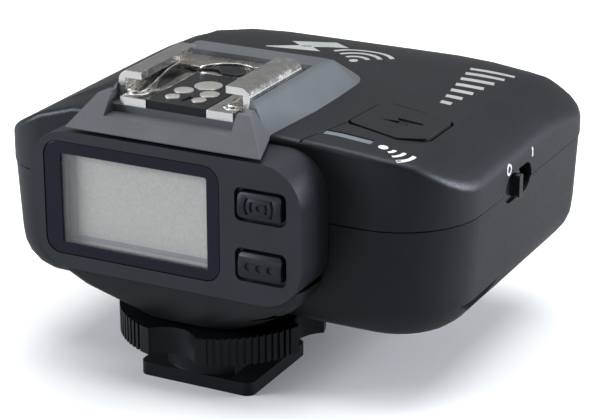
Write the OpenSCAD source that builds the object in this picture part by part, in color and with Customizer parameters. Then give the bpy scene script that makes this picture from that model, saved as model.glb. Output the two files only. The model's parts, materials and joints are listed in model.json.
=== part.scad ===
// Wireless flash trigger: a radio receiver that slides into an accessory shoe by its
// foot and carries a flash in the hot shoe on its top.
// Millimetres. +Z is up, +X is to the right as seen from the display, +Y is the back.
// The origin is the centre of the mounting foot's bottom face.

/* [Case] */
// Width of the case
case_w = 72.7; // [72:0.1:74]
// Depth of the case, without the display block
case_d = 58.95; // [58:0.05:60]
// Sideways offset of the case's centre from the shoe axis
case_shift = 2.75; // [2.5:0.05:3]
// Height of the crowned top at its middle
case_top = 40.2; // [40:0.1:41]
// Height of the seam between the two shells
seam_z = 28.9; // [28.8:0.1:29.2]
// Height of the flat underside
case_bottom = 11.1; // [10.9:0.1:11.6]
// Wall thickness of the shells
wall = 2; // [1.6:0.1:2.2]
// Radius of the front right upright corner
corner_r = 12.5; // [11:0.1:13]
// Radius of the front left upright corner
left_r = 8.4; // [8:0.1:12]
// Radius of the two back upright corners
back_r = 9.6; // [9:0.1:12]

/* [Display block] */
// Width of the display block
block_w = 43; // [42:0.1:44]
// Height of the display block
block_h = 20.6; // [20.4:0.1:21]
// How far the display block stands in front of the case
block_d = 8.15; // [8:0.05:9]
// Corner radius of the display block
block_r = 6.2; // [4:0.1:7]

/* [Shoe] */
// Free width between the rails, under their lips
slot_w = 18.7; // [18.6:0.05:18.9]
// Gap between the two lips
lip_gap = 13.4; // [12.6:0.1:13.6]
// Free height under the lips
slot_h = 2.05; // [2:0.05:2.2]
// Thickness of the shoe's sheet metal
sheet = 1.05; // [0.9:0.05:1.2]

/* [Foot] */
// Width of the foot plate
foot_w = 18.6; // [18.4:0.05:18.7]
// Length of the foot plate
foot_l = 17.7; // [17:0.1:18]
// Thickness of the foot plate
foot_t = 2; // [1.9:0.05:2]
// Outer radius of the lock ring
ring_r = 15.25; // [14:0.05:16]
// Height of the lock ring
ring_h = 4.1; // [3.8:0.1:4.2]
// Number of ribs round the lock ring
ring_ribs = 90; // [60:1:96]

/* [Hidden] */
$fn = 64;
eps = 0.01;
gap = 0.15;              // clearance between pieces that only sit next to each other
run = 0.05;              // radial clearance of a turning fit
seam_gap = 0.22;         // groove left open between the two shells

// Case outline
case_x = [case_shift - case_w / 2, case_shift + case_w / 2];
case_y = [-8.65, -8.65 + case_d];
case_mid = [case_shift, (case_y[0] + case_y[1]) / 2];
arc_steps = 8;           // outline steps on each corner
side_steps = 9;          // outline steps on each straight side
bottom_r = 7;            // radius of the bottom edge
draft = 0.55;            // inward lean of the lower wall at the bottom edge
edge_r = 0.9;            // radius of the top edge
corner_signs = [[1, 1], [-1, 1], [-1, -1], [1, -1]];
corner_radii = [back_r, back_r, left_r, corner_r];
flank_w = [12.7, 7.3];   // widths of the slanted flanks, left and right
flank_drop = [4, 3.7];   // how far each flank falls
flank_power = [1.25, 1.46];

// Display block
block_x = [-block_w / 2, block_w / 2];
block_z = [18.45, 18.45 + block_h];
block_y = case_y[0] - block_d;
face_t = 1.9;            // thickness of the block's front face
lens_x = [-19.3, 9];
lens_z = [20.5, 37.5];
view_x = [-16.5, 6.93];
view_z = [22.25, 35.66];
key_x = [12, 18.6];
key_h = 3.6;
key_zs = [31.05, 22.3];  // lower edges of the two keys
key_rim = 0.65;          // pocket margin round a key
key_travel = 0.5;

// Top of the case
button_pts = [[19.6, 1.4], [28.6, 0.1], [31.3, 1.9], [31.3, 11.4], [20.1, 12]];
lamp_x = [18.3, 25.6];
lamp_y = [-4.15, -2.65];
board_z = [29.3, 30.9];
screw_xy = [[-25.8, -1], [31.4, 4.5], [-27.2, 33], [32.6, 33]];

// Power switch
knob_slot_y = [12.5, 22.3];
knob_slot_z = [27, 31.4];
knob_travel = 2.7;

// Shoe
shoe_floor = 42.7;
contact_z = shoe_floor + 1.2;
lip_z = contact_z + slot_h;
rail_y = [-10.3, 5.2];
shoe_y = [-12.5, 8.6];
rail_x = slot_w / 2 + sheet;
block_half = 4.65;       // half-width of the contact block
contact_spots = [[0, -3.2, 2], [-2.15, -6.45, 1.4], [2.05, -6.55, 1.4],
    [-2.15, -9.6, 1.05], [2.0, -9.5, 1.05]];
shoe_screw_xy = [[-7.7, -9.5], [7.7, -9.5], [-7.4, 6.4], [7.4, 6.4]];

// Foot
stem_r = 5;
neck_top = 4.9;
ring_z = 6.34;
ring_web = 1.15;         // thickness of the ring's threaded web
ring_recess_r = 9.4;
grip_angles = [-91, -1, 89, 179];
ring_rim_r = 11.4;       // inner radius of the ring's raised rim
nut_z = [13.2, 16.4];

// Battery
cell_r = 7.25;
cell_l = 50.5;
cell_z = 20.95;
cell_ys = [24.35, 38.95];
cell_x = [case_shift - cell_l / 2, case_shift + cell_l / 2];
door_x = [-24.4, 29.9];
door_y = 14;
door_top = 16.6;
bay_front = 15.3;

// Left-hand ports
jack_y = 4.7;
jack_z = 26.2;
jack_bore_r = 1.3;
usb_y = [7.8, 15.1];
usb_z = [24, 27.2];

// ---------------------------------------------------------------- helpers

function over(v) = max(0, v);
function mix(a, b, t) = a + (b - a) * t;

// Height of the crowned top: nearly flat in the middle, a slanted flank along both
// sides and a gentle fall towards the back.
function top_height(x, y) =
    let (u = abs(x - case_shift), v = over(u - 14.25), side = x > case_shift ? 1 : 0,
         flank = over(1 - (case_w / 2 - u) / flank_w[side]))
    case_top - 0.015 * v - 0.0055 * v * v - flank_drop[side] * pow(flank, flank_power[side])
        - 0.0105 * pow(over(y - 30.5), 2) - 2.2 * pow(over(y - 44.5) / 5, 3);

// Drop of a round edge of radius r at a distance d inside the outline
function edge_drop(d, r) = d < r ? r - sqrt(r * r - pow(r - d, 2)) : 0;

// Point on corner c of the case outline, inset by d
function corner_point(c, d, angle) =
    let (s = corner_signs[c], r = max(corner_radii[c] - d, 1))
    [case_mid[0] + s[0] * (case_w / 2 - d - r) + r * cos(angle),
     case_mid[1] + s[1] * (case_d / 2 - d - r) + r * sin(angle)];

// The case outline, inset by d, as points going anticlockwise
function outline(d) = [for (c = [0:3])
    let (a = corner_point(c, d, 90 * c + 90), b = corner_point((c + 1) % 4, d, 90 * c + 90))
    each concat(
        [for (i = [0:arc_steps]) corner_point(c, d, 90 * (c + i / arc_steps))],
        [for (k = [1:side_steps - 1]) mix(a, b, k / side_steps)])];

function level(pts, z) = [for (p = pts) [p[0], p[1], z]];

// Solid through a stack of equal rings, from the lowest to the highest. Each flat end
// is a fan round the case's middle.
module loft(rings) {
    n = len(rings[0]);
    top = len(rings) - 1;
    low = n * len(rings);
    high = low + 1;
    sides = [for (i = [0:top - 1], k = [0:n - 1])
        let (a = i * n + k, b = i * n + (k + 1) % n)
        each [[a, a + n, b + n], [a, b + n, b]]];
    ends = [for (k = [0:n - 1])
        let (j = (k + 1) % n)
        each [[low, k, j], [high, top * n + j, top * n + k]]];
    polyhedron(
        points = concat([for (r = rings) each r],
            [concat(case_mid, rings[0][0][2]), concat(case_mid, rings[top][0][2])]),
        faces = concat(sides, ends));
}

module top_skin() {
    insets = [0, 0.12, 0.4, edge_r, 2, 3.6, 5.4, 7.3, 9.5, 12.7, 17, 21, 25];
    loft(concat([level(outline(0), seam_z)], [for (d = insets)
        [for (p = outline(d)) [p[0], p[1], top_height(p[0], p[1]) - edge_drop(d, edge_r)]]]));
}

// Lower case form, shrunk by t for its inside
module bottom_skin(t) {
    r = bottom_r - t;
    step = 0.15;
    loft(concat(
        [for (a = [90:-15:0]) level(outline(step + draft + t + r * (1 - cos(a))),
            case_bottom + bottom_r - r * sin(a))],
        [level(outline(step + t), seam_z - seam_gap)]));
}

// Rounded rectangle between two corners, with true arcs
module round_rect(x, y, r) {
    translate([x[0] + r, y[0]]) square([x[1] - x[0] - 2 * r, y[1] - y[0]]);
    translate([x[0], y[0] + r]) square([x[1] - x[0], y[1] - y[0] - 2 * r]);
    for (px = [x[0] + r, x[1] - r], py = [y[0] + r, y[1] - r]) translate([px, py]) circle(r);
}

module round_box(x, y, z, r) {
    translate([0, 0, z[0]]) linear_extrude(z[1] - z[0]) round_rect(x, y, r);
}

// Rounded rectangle in X and Z, extruded from the first to the second y
module front_box(x, z, y, r) {
    translate([0, y[1], 0]) rotate([90, 0, 0]) linear_extrude(y[1] - y[0]) round_rect(x, z, r);
}

module box(x, y, z) {
    translate([x[0], y[0], z[0]]) cube([x[1] - x[0], y[1] - y[0], z[1] - z[0]]);
}

// Straight-sided block that follows the case outline, inset by d
module case_prism(d, z) {
    round_box(case_x + [d, -d], case_y + [d, -d], z, max(corner_r - d, 1));
}

module at_screws() {
    for (p = screw_xy) translate([p[0], p[1], 0]) children();
}

module both_sides() {
    children();
    mirror([1, 0, 0]) children();
}

// ---------------------------------------------------------------- case

module knob_slot() {
    r = (knob_slot_z[1] - knob_slot_z[0]) / 2 - eps;
    translate([30, 0, 0]) rotate([90, 0, 90]) linear_extrude(15)
        round_rect(knob_slot_y, knob_slot_z, r);
}

module button_outline(grow) {
    r = 1.1;
    hull() for (p = button_pts) translate(p + [p[0] > 25 ? -r : r, p[1] > 6 ? -r : r])
        circle(r + grow, $fn = 32);
}

module platform_footprint(grow) {
    hull() {
        for (x = [-7.1, 7.1]) translate([x, 17.6]) circle(6 + grow, $fn = 48);
        translate([-13.35 - grow, 4]) square([26.7 + 2 * grow, 7]);
        translate([-12.45 - grow, case_y[0]]) square([24.9 + 2 * grow, 1]);
    }
}

module top_shell() {
    color("#3a3d40") difference() {
        top_skin();
        difference() {
            union() {
                case_prism(1, [seam_z - 1, 30.35]);
                case_prism(wall, [seam_z - 1, 31.5]);
                case_prism(4.5, [seam_z - 1, 34.1]);
                case_prism(9, [seam_z - 1, 36.6]);
                box([-12, 19.5], [-4, 29], [seam_z - 1, 38.3]);
                translate([0, 0, 33]) linear_extrude(3.15) button_outline(1);
            }
            at_screws() cylinder(r = 2.5, h = 40);
        }
        translate([0, 0, 34.4]) linear_extrude(1.75) button_outline(1);
        at_screws() cylinder(r = 1.1, h = 34.5);
        box([35.3, case_x[1] - wall], [9.6, 25.4], [30, 32.9]);
        knob_slot();
        linear_extrude(50) button_outline(0.38);
        box(lamp_x + [-0.1, 0.1], lamp_y + [-0.1, 0.1], [33, 45]);
        translate([0, 0, 40]) linear_extrude(5) platform_footprint(0.04);
        box([-4.2, 4.2], [-8, 3], [36, 45]);
        for (p = shoe_screw_xy) translate([p[0], p[1], 36]) cylinder(r = 0.95, h = 9);
        panel_groove();
    }
}

// Fine groove that runs from the front edge to the test button
module panel_groove() {
    w = 0.3;
    translate([0, 0, case_top - 0.42]) linear_extrude(3)
        polygon([[16.7, -9.5], [16.7 + w, -9.5], [19.45, 1.5], [19.45 - w, 1.5]]);
}

// Shallow finger notch under the right-hand side, half-round below a straight edge
module finger_notch() {
    r = 11.1;
    translate([36.95, 6.9, 16.4]) rotate([0, 30, 0]) intersection() {
        translate([0, 0, r - 2]) rotate([0, 90, 0]) cylinder(r = r, h = 5);
        box([-1, 6], [-8, 8], [-3, 0]);
    }
}

// Rounded nose that carries the display block's lower edge down to the foot
module nose_level(x, y, z, r) {
    translate([0, 0, z]) linear_extrude(0.1) round_rect([-x, x], [block_y + y, 4], r, $fn = 32);
}

module nose() {
    difference() {
        hull() {
            nose_level(20.3, 0.35, 20.1, 4);
            nose_level(19.2, 0.4, 18, 4);
            nose_level(17, 1.4, 15.6, 5.5);
            nose_level(13.9, 3.4, 13.2, 7);
            nose_level(11, 6, case_bottom, 8);
        }
        front_box(block_x + [-0.04, 0.04], block_z + [-0.04, 0.04], [block_y - 1, case_y[0]],
            block_r);
    }
}

module door_region(grow) {
    box(door_x + [-grow, grow], [door_y - grow, 60], [5, door_top + grow]);
}

module battery_bay_walls() {
    for (x = [door_x[0] - 1.6, door_x[1] + 0.6]) box([x, x + 1], [bay_front, 45], [13, 28.6]);
    box([door_x[0] - 1.6, door_x[1] + 1.6], [bay_front, bay_front + 1], [13, 28.6]);
}

module bottom_shell() {
    color("#3c4046") difference() {
        union() {
            difference() {
                union() {
                    bottom_skin(0);
                    nose();
                }
                finger_notch();
                difference() {
                    union() {
                        bottom_skin(wall);
                        case_prism(wall + 0.35, [seam_z - 2, seam_z + 1]);
                    }
                    at_screws() cylinder(r = 2.6, h = seam_z - seam_gap);
                    battery_bay_walls();
                }
                front_box([-16, 16], [14.6, 20], [-14.2, -9.4], 1);
            }
            difference() {
                case_prism(1.08, [seam_z - 2, 30.05]);
                case_prism(wall - 0.05, [seam_z - 3, 31]);
                box([36, 40], knob_slot_y + [-3.2, 3.2], [26, 32]);
            }
            box([door_x[0] - 1.6, door_x[1] + 1.6], [bay_front, 46.4], [28.3, 28.86]);
        }
        door_region(gap);
        knob_slot();
        at_screws() {
            translate([0, 0, 5]) cylinder(r = 2.15, h = 11.2);
            cylinder(r = 1.25, h = 32);
        }
        cylinder(r = stem_r + gap, h = 20);
        translate([0, 0, nut_z[0] - 0.06]) cylinder(r = 8.35, h = 10);
        front_box([-7, 7], [22, 27], [-10, -5], 0.6);
        translate([-40, jack_y, jack_z]) rotate([0, 90, 0]) cylinder(r = 2.55, h = 10);
        usb_opening();
    }
}

module usb_opening() {
    translate([-40, 0, 0]) rotate([90, 0, 90]) linear_extrude(10)
        round_rect(usb_y + [-0.2, 0.2], usb_z + [-0.2, 0.2], 1);
}

module battery_door() {
    color("#3c4046") difference() {
        intersection() {
            bottom_skin(0);
            door_region(0);
        }
        bottom_skin(wall);
        for (i = [0:4]) box([case_shift - 6, case_shift + 6],
            [door_y + 3 + 1.6 * i, door_y + 3.7 + 1.6 * i], [5, case_bottom + 0.4]);
    }
}

module case_screws() {
    color("#8b8e92") at_screws() {
        difference() {
            translate([0, 0, 14.7]) cylinder(r = 1.95, h = 1.5);
            for (a = [0, 90]) rotate(a) box([-1.2, 1.2], [-0.25, 0.25], [14, 15.4]);
        }
        translate([0, 0, 16.2]) cylinder(r = 1.05, h = 17.8);
    }
}

// ---------------------------------------------------------------- display block

module front_bezel() {
    r = block_r;
    color("#34383f") difference() {
        front_box(block_x, block_z, [block_y, case_y[0]], r);
        front_box(block_x + [1.6, -1.6], block_z + [1.5, -1.5], [block_y + face_t, 0], r - 1.5);
        front_box(lens_x, lens_z, [block_y - 1, block_y + 1], 2.4);
        front_box(view_x + [-0.5, 0.5], view_z + [-0.5, 0.5], [block_y - 1, block_y + 5], 0.4);
        for (z = key_zs) {
            front_box(key_x + [-key_rim, key_rim], [z - key_rim, z + key_h + key_rim],
                [block_y - 1, block_y + 0.9], 1);
            front_box(key_x + [-gap, gap], [z - gap, z + key_h + gap],
                [block_y - 1, block_y + 5], 0.7);
        }
    }
}

module display_lens() {
    color("#23252b") difference() {
        front_box(lens_x + [0.1, -0.1], lens_z + [0.1, -0.1], [block_y + 0.08, block_y + 1], 2.3);
        front_box(view_x, view_z, [block_y - 1, block_y + 5], 0.3);
    }
}

module display_window() {
    color("#dfe6e6", 0.3) front_box(view_x + [0.03, -0.03], view_z + [0.03, -0.03],
        [block_y + 0.3, block_y + 0.9], 0.3);
}

module lcd_panel() {
    y = block_y + face_t;
    color("#a6a8a3") front_box(view_x + [-1.2, 1.2], view_z + [-1.2, 1.2], [y + 0.04, y + 1.5], 0.5);
}

module lcd_tray() {
    y = block_y + face_t + 1.54;
    color("#d8dad6") difference() {
        front_box([-18.6, 9.3], [20.6, 37], [y, y + 1.8], 3.5);
        front_box([-6, 6], [23, 26], [y - 1, y + 3], 0.5);
    }
}

module display_ribbon() {
    t = 0.25;
    color("#c98a3c") translate([-4, 0, 0]) rotate([90, 0, 90]) linear_extrude(8)
        polygon([[-13.3, 24.4], [-5.5, 24.4], [-3.5, 28.9], [-1, 28.9], [-1, 28.9 + t],
            [-3.6, 28.9 + t], [-5.7, 24.4 + t], [-13.3, 24.4 + t]]);
}

// Round face of a key, as a bar along X
module key_bar(z, r) {
    translate([0, block_y + 4.2, z + 1.4]) rotate([0, 90, 0]) cylinder(r = r, h = 40, $fn = 120);
}

// A key whose lower edge is at z; the child is the outline engraved in its face
module key(z) {
    y = block_y;
    difference() {
        intersection() {
            front_box(key_x, [z, z + key_h], [y - 2, y + face_t + 0.06], 0.6);
            key_bar(z, 4.65);
        }
        difference() {
            translate([(key_x[0] + key_x[1]) / 2, y + 1, z + 1.75]) rotate([90, 0, 0])
                linear_extrude(3) children();
            key_bar(z, 4.45);
        }
    }
    front_box(key_x + [-0.7, 0.4], [z - 0.7, z + key_h + 0.7],
        [y + face_t + 0.05, y + face_t + 0.65], 1.2);
    translate([(key_x[0] + key_x[1]) / 2, y + face_t + 1.1, z + key_h / 2])
        rotate([90, 0, 0]) cylinder(r = 1.2, h = 0.5);
}

// Radio waves on both sides of a dot
module wave_icon() {
    circle(0.4);
    for (s = [-1, 1], r = [1.2, 2.1]) intersection() {
        difference() {
            circle(r + 0.2);
            circle(r - 0.2);
        }
        polygon([[0, 0], [2.6 * s, -1.7], [2.6 * s, 1.7]]);
    }
}

// Three dots in a row
module group_icon() {
    for (x = [-1.7, 0, 1.7]) translate([x, 0]) circle(0.55);
}

module channel_button() {
    color("#2e3238") key(key_zs[0]) wave_icon();
}

module group_button() {
    color("#2e3238") key(key_zs[1]) group_icon();
}

module key_board() {
    y = block_y + 5.3;
    color("#1f5a3a") difference() {
        front_box([9.8, 19.4], [20.6, 37], [y, y + 1.2], 3.5);
        translate([11, y + 2, 28.9]) rotate([90, 0, 0]) cylinder(r = 0.8, h = 3);
    }
}

// A tact switch, its button along +Z from its base at the origin. The button is at
// its pressed height.
module tact_switch(h) {
    box([-2, 2], [-1.6, 1.6], [0, h]);
    translate([0, 0, h - eps]) cylinder(r = 0.9, h = 0.5);
}

module tact_switches() {
    color("#b9bcc0") {
        for (z = key_zs) translate([(key_x[0] + key_x[1]) / 2, block_y + 5.3, z + key_h / 2])
            rotate([90, 0, 0]) tact_switch(1.15);
        translate([25.5, 6, board_z[1]]) tact_switch(3.2);
    }
}

// ---------------------------------------------------------------- top controls

module test_button() {
    tilt = 5.2;
    color("#2b2b2a") {
        intersection() {
            translate([0, 0, 35.4]) linear_extrude(6) button_outline(0);
            translate([19.6, 0, 40.3]) rotate([0, tilt, 0]) difference() {
                translate([-20, -20, -20]) cube([60, 60, 20]);
                translate([6.1, 6.2, -0.3]) linear_extrude(1) rotate(-58) polygon([[0.5, 2.9],
                    [-1.6, -0.35], [-0.25, -0.35], [-1, -2.9], [1.6, 0.55], [0.3, 0.55], [1.2, 2.9]]);
            }
        }
        translate([0, 0, 35.2]) linear_extrude(0.9) button_outline(0.9);
        translate([25.5, 6, 35.2 - 0.05]) cylinder(r = 1.5, h = 0.2);
    }
}

module status_light_pipe() {
    color("#9aa6ad") {
        intersection() {
            box(lamp_x, lamp_y, [34, 45]);
            translate([0, 0, -0.12]) top_skin();
        }
        box([21, 23], lamp_y + [0.1, -0.1], [32.6, 34]);
    }
}

module status_led() {
    color("#e9e4c8") box([21, 23], [-4.1, -2.7], [board_z[1], 32.3]);
}

module switch_knob() {
    r = (knob_slot_z[1] - knob_slot_z[0]) / 2 - gap;
    y = [knob_slot_y[0] + gap, knob_slot_y[1] - knob_travel - gap];
    z = [knob_slot_z[0] + gap, knob_slot_z[1] - gap];
    color("#2a2c30") {
        translate([36.5, 0, 0]) rotate([90, 0, 90]) linear_extrude(2) round_rect(y, z, r - eps);
        translate([38.4, 0, 0]) rotate([90, 0, 90]) linear_extrude(1.45)
            round_rect([y[0] + 3.2, y[0] + 4.5], z + [0.3, -0.3], 0.5);
        box([35.7, 36.55], [y[0] - 1.2, y[1] + 1.2], [26.4, 32.4]);
        box([35.1, 35.75], [15, 16.2], [27, 28.4]);
    }
}

module switch_body() {
    color("#55585c") box([32, 35], [11.5, 23.5], [25.6, board_z[0]]);
}

// ---------------------------------------------------------------- hot shoe

module platform_level(x, y, z, r) {
    translate([0, 0, z]) linear_extrude(0.05) round_rect([-x, x], y, r, $fn = 32);
}

module shoe_platform() {
    color("#686b6e") difference() {
        union() {
            hull() {
                translate([0, 0, 39.9]) linear_extrude(0.3) platform_footprint(0);
                platform_level(11.4, [-11, 14.9], 44.35, 1.2);
                platform_level(10.65, [-10.6, 12.7], 45.15, 0.8);
            }
            hull() {
                box([-15.4, 15.4], [block_y, block_y + 0.1], [39.65, 39.8]);
                box([-12.45, 12.45], [case_y[0] - 0.1, case_y[0] + 0.3], [39.65, 40.2]);
                box([-12, 12], [-13.3, -13.2], [44.15, 44.25]);
                box([-11.4, 11.4], [-11.05, -10.95], [44.3, 44.4]);
            }
        }
        box([-20, 20], [case_y[0], 40], [35, 40.02]);
        box([-10, 10], [-20, shoe_y[0] - 0.1], [41.65, 50]);
        box([-rail_x - 0.1, rail_x + 0.1], [shoe_y[0] - 0.1, shoe_y[1]], [shoe_floor, 50]);
        box([-4.2, 4.2], [-11, 3], [35, 50]);
        for (p = shoe_screw_xy) translate([p[0], p[1], 36]) cylinder(r = 0.95, h = 9);
    }
}

// One bent rail, in section: wall and inward lip with a round outer bend
module rail_section() {
    bend = 1.5;
    difference() {
        union() {
            translate([slot_w / 2, shoe_floor])
                square([sheet, lip_z + sheet - bend - shoe_floor]);
            translate([lip_gap / 2, lip_z]) square([rail_x - bend - lip_gap / 2, sheet]);
            intersection() {
                translate([rail_x - bend, lip_z + sheet - bend]) circle(bend);
                translate([rail_x - bend, lip_z + sheet - bend]) square(bend);
            }
            translate([rail_x - bend, lip_z]) square([0.4, 0.4]);
        }
        translate([0, contact_z]) square([slot_w / 2 - eps, slot_h]);
    }
}

module shoe_bracket() {
    color("#d4d5d3") {
        difference() {
            union() {
                box([-8.92, 8.92], [shoe_y[0], rail_y[0] + 1], [shoe_floor, contact_z]);
                box([-rail_x, rail_x], [rail_y[0], shoe_y[1] - 0.1], [shoe_floor, contact_z]);
                both_sides() translate([0, rail_y[1], 0]) rotate([90, 0, 0])
                    linear_extrude(rail_y[1] - rail_y[0]) rail_section();
            }
            box([-block_half - gap, block_half + gap], [-20, 2.1], [35, 50]);
            both_sides() translate([0, 0, 40]) linear_extrude(3.9 + eps)
                polygon([[6, -7.6], [6.3, 2.6], [9.1, 2.6], [9.1, -1]]);
            for (p = shoe_screw_xy) translate([p[0], p[1], 0]) {
                translate([0, 0, 36]) cylinder(r = 1.05, h = 9);
                translate([0, 0, contact_z - 0.9]) cylinder(r1 = 1.05, r2 = 1.75, h = 0.9);
            }
        }
    }
}

module shoe_springs() {
    t = 0.3;
    z = contact_z;
    color("#b9b4a8") both_sides() translate([6.9, 0, 0]) rotate([90, 0, 90]) linear_extrude(2.3)
        polygon([[-10.1, z], [-8.4, z], [-2.6, z + 1.25], [1.4, z + 1.65], [4.6, z + 1.2],
            [4.6, z + 1.2 + t], [1.4, z + 1.65 + t], [-2.7, z + 1.25 + t], [-8.5, z + t],
            [-10.1, z + t]]);
}

module shoe_rear_plate() {
    color("#8f918e") translate([0, 0, contact_z + 0.3]) linear_extrude(0.35) difference() {
        translate([-9.2, 2.9]) square([18.4, shoe_y[1] - 3]);
        intersection() {
            translate([0, 1.6]) circle(5);
            translate([-5, 0]) square([10, 7]);
        }
        translate([3.1, 4.6]) circle(1.5);
    }
}

module shoe_stop() {
    color("#1d1d1e") difference() {
        box([-6.2, 6.2], [2.4, shoe_y[1] - 0.2], [contact_z, contact_z + 0.3]);
        for (x = [-3.1, 3.1]) translate([x, 1.6, 40]) cylinder(r = 2.2, h = 8);
    }
}

module contact_block() {
    color("#161617") difference() {
        union() {
            box([-block_half, block_half], [shoe_y[0] + 0.1, 1.9], [shoe_floor, contact_z + 0.05]);
            box([-4, 4], [-7.8, 1.9], [38.4, shoe_floor + 0.1]);
        }
        for (c = contact_spots) translate([c[0], c[1], contact_z - 0.35])
            cylinder(r = c[2] + 0.03, h = 2);
        translate([-0.4, -10.6, contact_z - 0.3]) rotate(-8) cube([0.7, 2.3, 2]);
    }
}

module shoe_contacts() {
    color("#cdccc6") for (c = contact_spots) translate([c[0], c[1], contact_z - 0.34])
        cylinder(r = c[2], h = 0.52);
}

module shoe_screws() {
    color("#a9abad") for (p = shoe_screw_xy) translate([p[0], p[1], 0]) {
        translate([0, 0, 39.75]) cylinder(r = 0.85, h = contact_z - 0.85 - 39.75);
        difference() {
            translate([0, 0, contact_z - 0.86]) cylinder(r1 = 0.9, r2 = 1.65, h = 0.84);
            for (a = [0, 90]) rotate(a) box([-1, 1], [-0.2, 0.2], [contact_z - 0.4, 50]);
        }
    }
}

// ---------------------------------------------------------------- foot

// Ribbed ring outline with four thumb scallops, each between two plain lands
module ring_outline() {
    rib = 0.42;
    difference() {
        union() {
            circle(ring_r - rib, $fn = 180);
            for (i = [0:ring_ribs - 1]) rotate(360 * i / ring_ribs)
                translate([ring_r - rib - 0.3, -0.3]) square([rib + 0.25, 0.6]);
            for (a = grip_angles, side = [-1, 1]) rotate(a + 17.6 * side)
                translate([ring_r - 1.2, -0.85]) square([1.16, 1.7]);
        }
        for (a = grip_angles) rotate(a) translate([ring_r + 2.1, 0]) circle(4.7, $fn = 96);
    }
}

module lock_ring() {
    color("#191a1c") difference() {
        translate([0, 0, ring_z]) linear_extrude(ring_h) ring_outline();
        translate([0, 0, ring_z - 1]) cylinder(r = ring_recess_r, h = ring_h + 1 - ring_web - 0.9);
        translate([0, 0, ring_z + ring_h - 0.9]) cylinder(r = ring_rim_r, h = 2);
        translate([0, 0, ring_z - 1]) cylinder(r = stem_r + run, h = 10);
    }
    color("#191a1c") for (r = [6.6, 8.2, 9.8]) translate([0, 0, ring_z + ring_h - 0.92])
        difference() {
            cylinder(r = r + 0.3, h = 0.3);
            translate([0, 0, -1]) cylinder(r = r - 0.3, h = 3);
        }
}

module ring_washer() {
    z = ring_z + ring_h - ring_web - 0.9 - 0.05;
    color("#c9c6bd") difference() {
        translate([0, 0, z - 0.5]) cylinder(r = 8.2, h = 0.5);
        translate([0, 0, z - 2]) cylinder(r = stem_r + run, h = 4);
    }
}

module mounting_foot() {
    color("#1b1c1e") {
        difference() {
            round_box([-foot_w / 2, foot_w / 2], [-foot_l / 2, foot_l / 2], [0, foot_t], 1.4);
            translate([0, 0, -1]) difference() {
                round_box([-5, 5], [-5, 5], [0, 1.6], 1);
                for (a = [0, 90]) rotate(a) box([-6, 6], [-0.5, 0.5], [0, 3]);
            }
        }
        intersection() {
            translate([0, 0, foot_t - eps]) cylinder(r = foot_l / 2 - 0.05, h = neck_top - foot_t);
            box([-5.6, 5.6], [-10, 10], [0, 10]);
        }
        translate([0, 0, neck_top - 0.1]) cylinder(r = stem_r, h = 18.6 - neck_top);
    }
}

module foot_nut() {
    color("#b6b8ba") difference() {
        translate([0, 0, nut_z[0]]) cylinder(r = 8.2, h = nut_z[1] - nut_z[0], $fn = 6);
        cylinder(r = stem_r + run, h = 20);
    }
}

// ---------------------------------------------------------------- inside

module battery_cells() {
    color("#4a7a4f") for (i = [0, 1]) translate([cell_x[i], cell_ys[i], cell_z])
        rotate([0, i == 0 ? 90 : -90, 0]) {
            cylinder(r = cell_r, h = cell_l - 1.2);
            translate([0, 0, cell_l - 1.2 - eps]) cylinder(r = 2.7, h = 1.2);
        }
}

module battery_contacts() {
    color("#c2c4c5") for (i = [0, 1]) {
        dir = i == 0 ? -1 : 1;
        x = cell_x[i] + dir * 1.6;
        box([min(x, x + dir * 0.3), max(x, x + dir * 0.3)], [19, 44.2], [17, 26]);
        translate([x + dir * eps, cell_ys[i], cell_z]) rotate([0, -90 * dir, 0])
            cylinder(r1 = 3, r2 = 2, h = 1.55);
    }
}

module main_board() {
    color("#1f5a3a") difference() {
        case_prism(4.7, board_z);
        at_screws() cylinder(r = 2.8, h = 40);
        box([33.6, 40], [9, 26], [20, 40]);
    }
}

module radio_module() {
    z = board_z[1];
    color("#c7c9cb") {
        box([-17, -3], [17, 27], [z, z + 2.2]);
        box([-17, -3], [27.2, 34], [z, z + 0.8]);
    }
}

module usb_port() {
    x = [case_x[0] + 0.7, case_x[0] + 6.4];
    color("#b4b6b8") difference() {
        translate([x[0], 0, 0]) rotate([90, 0, 90]) linear_extrude(x[1] - x[0])
            round_rect(usb_y, usb_z, 0.9);
        translate([x[0] - 1, 0, 0]) rotate([90, 0, 90]) linear_extrude(5.5)
            round_rect(usb_y + [0.3, -0.3], usb_z + [0.3, -0.3], 0.7);
    }
}

module sync_jack() {
    x = case_x[0] + 0.6;
    color("#202124") difference() {
        union() {
            translate([x, jack_y, jack_z]) rotate([0, 90, 0]) cylinder(r = 2.4, h = 3);
            box([x + 2.2, x + 13], [jack_y - 2.6, jack_y + 2.6], [jack_z - 2.9, jack_z + 2.9]);
        }
        translate([x - 1, jack_y, jack_z]) rotate([0, 90, 0]) cylinder(r = jack_bore_r, h = 12.5);
    }
}

top_shell();
bottom_shell();
front_bezel();
display_lens();
display_window();
lcd_panel();
lcd_tray();
display_ribbon();
channel_button();
group_button();
key_board();
tact_switches();
test_button();
status_light_pipe();
status_led();
switch_knob();
switch_body();
shoe_platform();
shoe_bracket();
shoe_springs();
shoe_rear_plate();
shoe_stop();
contact_block();
shoe_contacts();
shoe_screws();
lock_ring();
ring_washer();
mounting_foot();
foot_nut();
battery_door();
battery_cells();
battery_contacts();
main_board();
radio_module();
usb_port();
sync_jack();
case_screws();
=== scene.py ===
import json
import math
import bmesh
import bpy
from mathutils import Matrix, Vector
from mathutils.bvhtree import BVHTree

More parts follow.
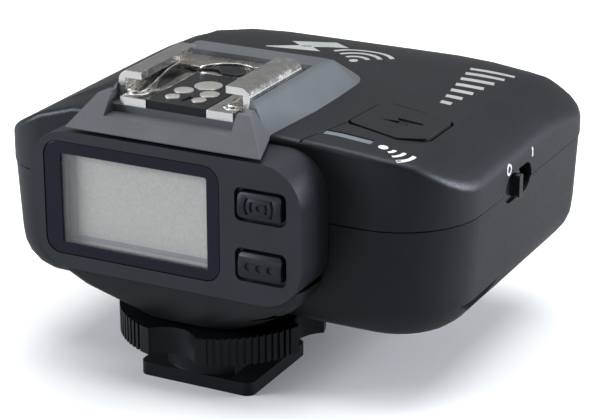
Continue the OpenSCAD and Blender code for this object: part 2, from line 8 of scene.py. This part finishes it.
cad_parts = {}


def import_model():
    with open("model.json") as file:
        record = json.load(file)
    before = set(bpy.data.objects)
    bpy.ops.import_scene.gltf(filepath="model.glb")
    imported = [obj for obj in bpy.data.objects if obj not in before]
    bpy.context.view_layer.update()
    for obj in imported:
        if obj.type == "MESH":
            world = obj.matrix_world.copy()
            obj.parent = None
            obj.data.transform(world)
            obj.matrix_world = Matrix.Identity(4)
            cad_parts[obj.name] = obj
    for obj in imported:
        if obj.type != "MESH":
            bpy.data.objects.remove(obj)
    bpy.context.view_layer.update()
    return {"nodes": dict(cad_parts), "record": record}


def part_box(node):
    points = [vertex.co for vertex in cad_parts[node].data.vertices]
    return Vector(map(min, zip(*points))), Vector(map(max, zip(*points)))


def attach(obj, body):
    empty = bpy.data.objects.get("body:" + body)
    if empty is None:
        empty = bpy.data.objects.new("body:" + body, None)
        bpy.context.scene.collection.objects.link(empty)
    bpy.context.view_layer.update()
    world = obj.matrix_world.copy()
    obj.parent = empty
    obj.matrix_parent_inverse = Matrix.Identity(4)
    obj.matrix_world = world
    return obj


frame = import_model()
NODES = frame["nodes"]
SLOTS = {part["node"]: part["material_slot"] for part in frame["record"]["subparts"]}
MM = 0.001
NOISE_LOW, NOISE_HIGH = 0.3, 0.7     # nearly all of a noise texture's values lie between
BROAD_MM = {"plastic": 9, "metal": 3, "gloss": 6, "window": 5}      # size of the mottling


# ------------------------------------------------------------------ materials

def new_material(name):
    """A material with its node tree, its Principled shader and an object-space coordinate node."""
    mat = bpy.data.materials.new(name)
    mat.use_nodes = True
    tree = mat.node_tree
    coords = tree.nodes.new("ShaderNodeTexCoord")
    return mat, tree, tree.nodes["Principled BSDF"], coords.outputs["Object"]


def noise(tree, coords, size_mm, detail=2.0, roughness=0.5, stretch=(1, 1, 1)):
    """3-D noise whose grains are about size_mm across."""
    mapping = tree.nodes.new("ShaderNodeMapping")
    mapping.inputs["Scale"].default_value = stretch
    tex = tree.nodes.new("ShaderNodeTexNoise")
    tex.inputs["Scale"].default_value = 1 / (size_mm * MM)
    tex.inputs["Detail"].default_value = detail
    tex.inputs["Roughness"].default_value = roughness
    tree.links.new(coords, mapping.inputs["Vector"])
    tree.links.new(mapping.outputs["Vector"], tex.inputs["Vector"])
    return tex.outputs["Fac"]


def ramp(tree, factor, low, high, start=NOISE_LOW, end=NOISE_HIGH):
    """Colour ramp from low to high; both are RGB."""
    node = tree.nodes.new("ShaderNodeValToRGB")
    node.color_ramp.elements[0].position = start
    node.color_ramp.elements[0].color = (*low, 1)
    node.color_ramp.elements[1].position = end
    node.color_ramp.elements[1].color = (*high, 1)
    tree.links.new(factor, node.inputs["Fac"])
    return node.outputs["Color"]


def value_range(tree, factor, low, high):
    """Value from low to high over the middle of the noise's range."""
    node = tree.nodes.new("ShaderNodeMapRange")
    node.inputs["From Min"].default_value = NOISE_LOW
    node.inputs["From Max"].default_value = NOISE_HIGH
    node.inputs["To Min"].default_value = low
    node.inputs["To Max"].default_value = high
    tree.links.new(factor, node.inputs["Value"])
    return node.outputs["Result"]


def bump(tree, shader, height, depth_mm, strength):
    """Raises the surface by the height texture."""
    node = tree.nodes.new("ShaderNodeBump")
    node.inputs["Strength"].default_value = strength
    node.inputs["Distance"].default_value = depth_mm * MM
    tree.links.new(height, node.inputs["Height"])
    tree.links.new(node.outputs["Normal"], shader.inputs["Normal"])


COOL = (0.82, 0.9, 1.0)              # tint of the highlights on dark plastic


def shade(colour, factor):
    return tuple(c * factor for c in colour)


def plastic(name, colour, roughness, grain_mm=0.28, grain_depth=0.02, specular=0.3):
    """Moulded plastic: a fine spark-eroded grain, slight mottling and uneven gloss."""
    mat, tree, shader, coords = new_material(name)
    fine = noise(tree, coords, grain_mm, detail=3)
    broad = noise(tree, coords, BROAD_MM["plastic"])
    tree.links.new(ramp(tree, broad, shade(colour, 0.88), shade(colour, 1.12)),
                   shader.inputs["Base Color"])
    tree.links.new(value_range(tree, fine, roughness - 0.05, roughness + 0.07),
                   shader.inputs["Roughness"])
    shader.inputs["Specular IOR Level"].default_value = specular
    shader.inputs["Specular Tint"].default_value = (*COOL, 1)
    bump(tree, shader, fine, grain_depth, 0.6)
    return mat


def metal(name, colour, roughness, pit_mm=0.4, pit_depth=0.006, stretch=(1, 1, 1)):
    """Plated sheet metal: small dents from tumbling, or brush lines where stretched."""
    mat, tree, shader, coords = new_material(name)
    shader.inputs["Metallic"].default_value = 1
    fine = noise(tree, coords, pit_mm, detail=4, roughness=0.6, stretch=stretch)
    broad = noise(tree, coords, BROAD_MM["metal"])
    tree.links.new(ramp(tree, broad, shade(colour, 0.9), colour), shader.inputs["Base Color"])
    tree.links.new(value_range(tree, fine, roughness - 0.06, roughness + 0.1),
                   shader.inputs["Roughness"])
    bump(tree, shader, fine, pit_depth, 0.5)
    return mat


def gloss(name, colour, roughness=0.12, specular=0.5, tint=(1, 1, 1)):
    """Polished plastic, with faint smudges in its gloss."""
    mat, tree, shader, coords = new_material(name)
    shader.inputs["Specular IOR Level"].default_value = specular
    shader.inputs["Specular Tint"].default_value = (*tint, 1)
    smudge = noise(tree, coords, BROAD_MM["gloss"], detail=4)
    tree.links.new(ramp(tree, smudge, shade(colour, 0.92), shade(colour, 1.08)),
                   shader.inputs["Base Color"])
    tree.links.new(value_range(tree, smudge, roughness, roughness + 0.08),
                   shader.inputs["Roughness"])
    return mat


def clear(name):
    """Clear window: lets the display through and keeps only a faint reflection."""
    mat, tree, shader, coords = new_material(name)
    smudge = noise(tree, coords, BROAD_MM["window"], detail=3)
    tree.links.new(value_range(tree, smudge, 0.02, 0.05), shader.inputs["Roughness"])
    shader.inputs["Base Color"].default_value = (0.98, 0.99, 0.98, 1)
    shader.inputs["Alpha"].default_value = 0.06
    shader.inputs["IOR"].default_value = 1.3
    return mat


def lcd_face(name):
    """Reflective LCD: warm grey with a faint grain."""
    mat, tree, shader, coords = new_material(name)
    grain = noise(tree, coords, 0.35, detail=1)
    tree.links.new(ramp(tree, grain, (0.295, 0.295, 0.277), (0.34, 0.34, 0.318)),
                   shader.inputs["Base Color"])
    shader.inputs["Roughness"].default_value = 0.55
    return mat


def board(name):
    """Circuit board: green mask over faint copper runs."""
    mat, tree, shader, coords = new_material(name)
    tracks = tree.nodes.new("ShaderNodeTexBrick")
    tracks.inputs["Scale"].default_value = 260
    tracks.inputs["Mortar Size"].default_value = 0.06
    tracks.inputs["Color1"].default_value = (0.012, 0.075, 0.03, 1)
    tracks.inputs["Color2"].default_value = (0.016, 0.095, 0.04, 1)
    tracks.inputs["Mortar"].default_value = (0.03, 0.16, 0.07, 1)
    tree.links.new(coords, tracks.inputs["Vector"])
    tree.links.new(tracks.outputs["Color"], shader.inputs["Base Color"])
    shader.inputs["Roughness"].default_value = 0.3
    return mat


MATERIALS = {
    "case_plastic": plastic("case_plastic", (0.0085, 0.0092, 0.0106), 0.42, grain_depth=0.03),
    "bezel_plastic": plastic("bezel_plastic", (0.0120, 0.0140, 0.0172), 0.4, grain_depth=0.014,
                             specular=0.42),
    "platform_plastic": plastic("platform_plastic", (0.066, 0.070, 0.074), 0.46, grain_mm=0.35,
                                specular=0.4),
    "lens_gloss": gloss("lens_gloss", (0.004, 0.005, 0.0095), 0.2, specular=0.3,
                        tint=(0.72, 0.8, 1.0)),
    "window_clear": clear("window_clear"),
    "lcd_face": lcd_face("lcd_face"),
    "white_plastic": plastic("white_plastic", (0.7, 0.7, 0.67), 0.45, grain_depth=0.005),
    "ribbon_film": gloss("ribbon_film", (0.5, 0.26, 0.06), 0.25),
    "key_plastic": plastic("key_plastic", (0.0075, 0.0085, 0.011), 0.4, grain_mm=0.2),
    "button_rubber": plastic("button_rubber", (0.006, 0.006, 0.0059), 0.5, grain_mm=0.3),
    "knob_plastic": plastic("knob_plastic", (0.010, 0.011, 0.013), 0.3, grain_depth=0.006),
    "lamp_plastic": gloss("lamp_plastic", (0.13, 0.155, 0.175), 0.3),
    "board_green": board("board_green"),
    "bracket_metal": metal("bracket_metal", (0.86, 0.86, 0.84), 0.16, pit_mm=0.9, pit_depth=0.003),
    "spring_metal": metal("spring_metal", (0.66, 0.62, 0.56), 0.22, stretch=(1, 0.1, 1)),
    "contact_metal": metal("contact_metal", (0.55, 0.54, 0.52), 0.4, pit_mm=0.15),
    "part_steel": metal("part_steel", (0.50, 0.50, 0.49), 0.36),
    "black_plastic": plastic("black_plastic", (0.004, 0.004, 0.0044), 0.45, grain_mm=0.2),
    "ring_plastic": plastic("ring_plastic", (0.0035, 0.0038, 0.0046), 0.34, grain_depth=0.004,
                            specular=0.24),
    "foot_plastic": plastic("foot_plastic", (0.0045, 0.005, 0.006), 0.4, grain_depth=0.008),
    "cell_wrap": gloss("cell_wrap", (0.04, 0.2, 0.08), 0.25),
}
MARK_GREY = gloss("mark_grey", (0.27, 0.28, 0.27), 0.5)
MARK_WHITE = gloss("mark_white", (0.62, 0.62, 0.61), 0.5)


# ------------------------------------------------------------------ CAD nodes

WELD_M = 2e-6                        # closes the seams of the tessellation
FLAT_ANGLE = math.radians(0.6)       # facets of one plane meet at less than this
EDGE_ANGLE = math.radians(32)        # sharper edges are rounded
EDGE_STEPS = 3
# nodes with long thin facets on their flat faces, which would spoil the rounded edges
FLAT_NODES = ("front_bezel", "display_lens", "shoe_bracket", "shoe_platform", "contact_block",
              "test_button", "shoe_rear_plate")
# radius of the rounded edges, mm; the nodes left out keep their edges
BEVELS = {
    "top_shell": 0.12, "bottom_shell": 0.12, "front_bezel": 0.35, "display_lens": 0.1,
    "channel_button": 0.22, "group_button": 0.22, "test_button": 0.28, "switch_knob": 0.15,
    "shoe_platform": 0.3, "shoe_bracket": 0.12, "shoe_springs": 0.05, "shoe_rear_plate": 0.06,
    "shoe_stop": 0.12, "contact_block": 0.06, "shoe_contacts": 0.12, "lock_ring": 0.12,
    "mounting_foot": 0.25, "battery_door": 0.12, "status_light_pipe": 0.08,
    "case_screws": 0.08, "usb_port": 0.08, "sync_jack": 0.12, "ring_washer": 0.05,
}


def dress(node, bevel_mm):
    """Gives a CAD node its slot's material and softly rounded edges, unless bevel_mm is 0."""
    obj = NODES[node]
    obj.data.materials.clear()
    obj.data.materials.append(MATERIALS[SLOTS[node]])
    obj.data.polygons.foreach_set("use_smooth", [True] * len(obj.data.polygons))
    weld = obj.modifiers.new("weld", "WELD")
    weld.merge_threshold = WELD_M
    if node in FLAT_NODES:
        flat = obj.modifiers.new("flat", "DECIMATE")
        flat.decimate_type = "DISSOLVE"
        flat.angle_limit = FLAT_ANGLE
    if bevel_mm:
        bevel = obj.modifiers.new("edges", "BEVEL")
        bevel.width = bevel_mm * MM
        bevel.segments = EDGE_STEPS
        bevel.limit_method = "ANGLE"
        bevel.angle_limit = EDGE_ANGLE
        bevel.miter_outer = "MITER_ARC"
    normals = obj.modifiers.new("normals", "WEIGHTED_NORMAL")
    normals.weight = 80


for node_name in NODES:
    dress(node_name, BEVELS.get(node_name, 0.0))


# ------------------------------------------------------------------ printed marks and painted display shade

PRINT = 0.02             # thickness of the print over its surface, mm
UNDER = 0.03             # how far its underside goes into the surface, mm
RAY_START = 80           # a plane clear of the object to cast from, mm


def cast(node, side):
    """Function from two plane coordinates in mm to a point and normal on that node.
    side "top" takes (x, y) seen from above, "right" takes (y, z) seen from +X."""
    tree = BVHTree.FromObject(NODES[node], bpy.context.evaluated_depsgraph_get())

    def hit(u, v):
        if side == "top":
            start, way = Vector((u, v, RAY_START)) * MM, Vector((0, 0, -1))
        else:
            start, way = Vector((RAY_START, u, v)) * MM, Vector((-1, 0, 0))
        point, normal, _, _ = tree.ray_cast(start, way)
        if normal.dot(way) > 0:
            normal = -normal
        return point, normal
    return hit


def band(bm, hit, pairs, step):
    """Closed thin plate between a left and a right edge given as pairs of plane points."""
    rows = []
    for (a0, b0), (a1, b1) in zip(pairs, pairs[1:]):
        long = max(math.dist(a0, a1), math.dist(b0, b1))
        n = max(1, math.ceil(long / step))
        for i in range(n if (a1, b1) != pairs[-1] else n + 1):
            t = i / n
            rows.append(([a0[k] + (a1[k] - a0[k]) * t for k in (0, 1)],
                         [b0[k] + (b1[k] - b0[k]) * t for k in (0, 1)]))
    lanes = max(1, math.ceil(max(math.dist(a, b) for a, b in rows) / step))
    top, low = [], []
    for a, b in rows:
        up, down = [], []
        for j in range(lanes + 1):
            point, normal = hit(*(a[k] + (b[k] - a[k]) * j / lanes for k in (0, 1)))
            up.append(bm.verts.new(point + normal * PRINT * MM))
            down.append(bm.verts.new(point - normal * UNDER * MM))
        top.append(up)
        low.append(down)
    last = len(rows) - 1
    for i in range(last):
        for j in range(lanes):
            bm.faces.new((top[i][j], top[i][j + 1], top[i + 1][j + 1], top[i + 1][j]))
            bm.faces.new((low[i][j], low[i + 1][j], low[i + 1][j + 1], low[i][j + 1]))
        for j in (0, lanes):
            bm.faces.new((top[i][j], top[i + 1][j], low[i + 1][j], low[i][j]))
    for i in (0, last):
        for j in range(lanes):
            bm.faces.new((top[i][j], low[i][j], low[i][j + 1], top[i][j + 1]))


def arc(centre, radius, width, start, end, count=14):
    """Pairs of points along a ring segment; start and end are in degrees."""
    inner, outer = radius - width / 2, radius + width / 2
    return [tuple((centre[0] + r * math.cos(math.radians(a)),
                   centre[1] + r * math.sin(math.radians(a))) for r in (inner, outer))
            for a in (start + (end - start) * i / count for i in range(count + 1))]


def bar(a, b, width):
    """Pairs of points along a straight bar from a to b."""
    dx, dy = b[0] - a[0], b[1] - a[1]
    long = math.hypot(dx, dy)
    off = (-dy / long * width / 2, dx / long * width / 2)
    return [((p[0] - off[0], p[1] - off[1]), (p[0] + off[0], p[1] + off[1])) for p in (a, b)]


def bolt(centre, size, turn):
    """The two halves of a flash pictogram, turned by some degrees."""
    halves = (([(-0.08, 0.5), (0.3, 0.5)], [(-0.32, -0.06), (0.02, -0.06)]),
              ([(-0.02, 0.06), (0.32, 0.06)], [(-0.24, -0.5), (-0.2, -0.5)]))
    c, s = math.cos(math.radians(turn)), math.sin(math.radians(turn))

    def place(p):
        x, y = p[0] * size, p[1] * size
        return (centre[0] + x * c - y * s, centre[1] + x * s + y * c)
    return [[tuple(place(p) for p in row) for row in half] for half in halves]


def dot(centre, radius):
    """A filled disc, as a ring segment with no hole."""
    return arc(centre, radius / 2, radius, 0, 360)


def add_object(bm, name, material):
    """Turns a finished bmesh into an object of the scene."""
    mesh = bpy.data.meshes.new(name)
    bm.to_mesh(mesh)
    bm.free()
    obj = bpy.data.objects.new(name, mesh)
    bpy.context.scene.collection.objects.link(obj)
    mesh.materials.append(material)
    return obj


def mark(name, hit, shapes, material, step=0.6):
    """A printed mark on the case, made of closed bands."""
    bm = bmesh.new()
    for pairs in shapes:
        band(bm, hit, pairs, step)
    bmesh.ops.recalc_face_normals(bm, faces=bm.faces)
    obj = add_object(bm, name, material)
    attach(obj, "case")


def signal_bar(i):
    """One bar of the signal row; each is longer than the one in front of it."""
    half, rise = 0.8 + 0.4 * i, 0.1 + 0.15 * i
    x, y = 27.35, 17.8 + 2.9 * i
    return bar((x - half, y - rise), (x + half, y + rise), 1.2)


# centres of the marks, mm, in the plane they are cast from
RADIO_AT = (7.4, 28.4)
LAMP_AT = (27.6, -4.1)
OFF_AT, ON_Y = (13.6, 32.35), 22.5
SIGNAL_BARS = 7

on_top = cast("top_shell", "top")
on_right = cast("top_shell", "right")
mark("flash_mark", on_top, bolt((-2.6, 32.3), 11.4, -38), MARK_GREY)
mark("radio_mark", on_top, [arc(RADIO_AT, r, 0.75, 35, 145) for r in (2.2, 4.1, 6)]
     + [dot(RADIO_AT, 0.7)], MARK_GREY)
mark("signal_mark", on_top, [signal_bar(i) for i in range(SIGNAL_BARS)], MARK_GREY)
mark("lamp_mark", on_top, [dot(LAMP_AT, 0.7)]
     + [arc(LAMP_AT, r, 0.55, -42, 6) for r in (1.7, 3.1, 4.5)], MARK_WHITE)
mark("switch_marks", on_right, [arc(OFF_AT, 0.7, 0.36, 0, 360),
     bar((ON_Y, OFF_AT[1] - 0.7), (ON_Y, OFF_AT[1] + 0.7), 0.42)], MARK_WHITE, 0.12)


def painted_display_shade():
    """Painted shade along the display's left and lower edges: thin darker plates laid over the
    display where the window's recess shades it.
    """
    side, foot, thick, ahead = 1.45 * MM, 0.75 * MM, 0.02 * MM, 0.005 * MM
    low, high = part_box("display_window")
    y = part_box("lcd_panel")[0].y - ahead
    bm = bmesh.new()
    for x0, x1, z0, z1 in ((low.x, low.x + side, low.z, high.z),
                           (low.x + side, high.x, low.z, low.z + foot)):
        cube = bmesh.ops.create_cube(bm, size=1)["verts"]
        bmesh.ops.scale(bm, vec=(x1 - x0, thick, z1 - z0), verts=cube)
        bmesh.ops.translate(bm, vec=((x0 + x1) / 2, y, (z0 + z1) / 2), verts=cube)
    # darker bluish grey plates: painted shade of the window's recess, not a part of the display
    obj = add_object(bm, "painted_display_shade", gloss("painted_recess_shade", (0.155, 0.155, 0.185), 0.4))
    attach(obj, "case")


painted_display_shade()


# ------------------------------------------------------------------ stage

CAMERA_PLACE = Vector((0.15009, -0.26853, 0.13986))
CAMERA_TARGET = Vector((0.01276, 0, 0.02651))
CAMERA_ROLL = math.radians(-0.14)
CAMERA_LENS = 135.85                 # mm, on a sensor 36 mm wide


def camera():
    data = bpy.data.cameras.new("camera")
    data.sensor_width = 36
    data.lens = CAMERA_LENS
    cam = bpy.data.objects.new("camera", data)
    bpy.context.scene.collection.objects.link(cam)
    look = (CAMERA_TARGET - CAMERA_PLACE).to_track_quat("-Z", "Y")
    cam.rotation_mode = "QUATERNION"
    cam.rotation_quaternion = look @ Matrix.Rotation(CAMERA_ROLL, 3, "Z").to_quaternion()
    cam.location = CAMERA_PLACE
    bpy.context.scene.camera = cam


def area_light(name, place, aim, size, power, colour=(1, 1, 1)):
    """A rectangular light; places are in metres, power in watts."""
    data = bpy.data.lights.new(name, "AREA")
    data.shape = "RECTANGLE"
    data.size, data.size_y = size
    data.energy = power
    data.color = colour
    lamp = bpy.data.objects.new(name, data)
    lamp.location = place
    lamp.rotation_mode = "QUATERNION"
    lamp.rotation_quaternion = (Vector(aim) - Vector(place)).to_track_quat("-Z", "Y")
    bpy.context.scene.collection.objects.link(lamp)


AMBIENT = 0.22                       # strength of the white surroundings
FLOOR_SEEN = (0.86, 0.86, 0.86)      # what the camera sees
FLOOR_BOUNCE = (0.32, 0.32, 0.32)    # what lights the object from below


def floor():
    bm = bmesh.new()
    bmesh.ops.create_grid(bm, x_segments=1, y_segments=1, size=3)
    mat, tree, shader, _ = new_material("floor")
    shader.inputs["Roughness"].default_value = 0.9
    path = tree.nodes.new("ShaderNodeLightPath")
    tree.links.new(ramp(tree, path.outputs["Is Camera Ray"], FLOOR_BOUNCE, FLOOR_SEEN, 0, 1),
                   shader.inputs["Base Color"])
    add_object(bm, "floor", mat)


def world():
    surroundings = bpy.data.worlds.new("world")
    surroundings.use_nodes = True
    background = surroundings.node_tree.nodes["Background"]
    background.inputs["Color"].default_value = (1, 1, 1, 1)
    background.inputs["Strength"].default_value = AMBIENT
    bpy.context.scene.world = surroundings


camera()
floor()
world()
area_light("overhead", (0, 0.15, 1.0), (0, 0.02, 0), (1.1, 1.1), 15.5)
area_light("side", (0.55, 0.32, 0.22), (0, 0, 0.02), (0.3, 0.3), 6.2, (0.88, 0.93, 1))
area_light("front", (-0.6, -0.4, 0.26), (0, 0, 0.02), (0.35, 0.35), 7.5, (0.9, 0.95, 1))
bpy.context.scene.view_settings.view_transform = "Standard"
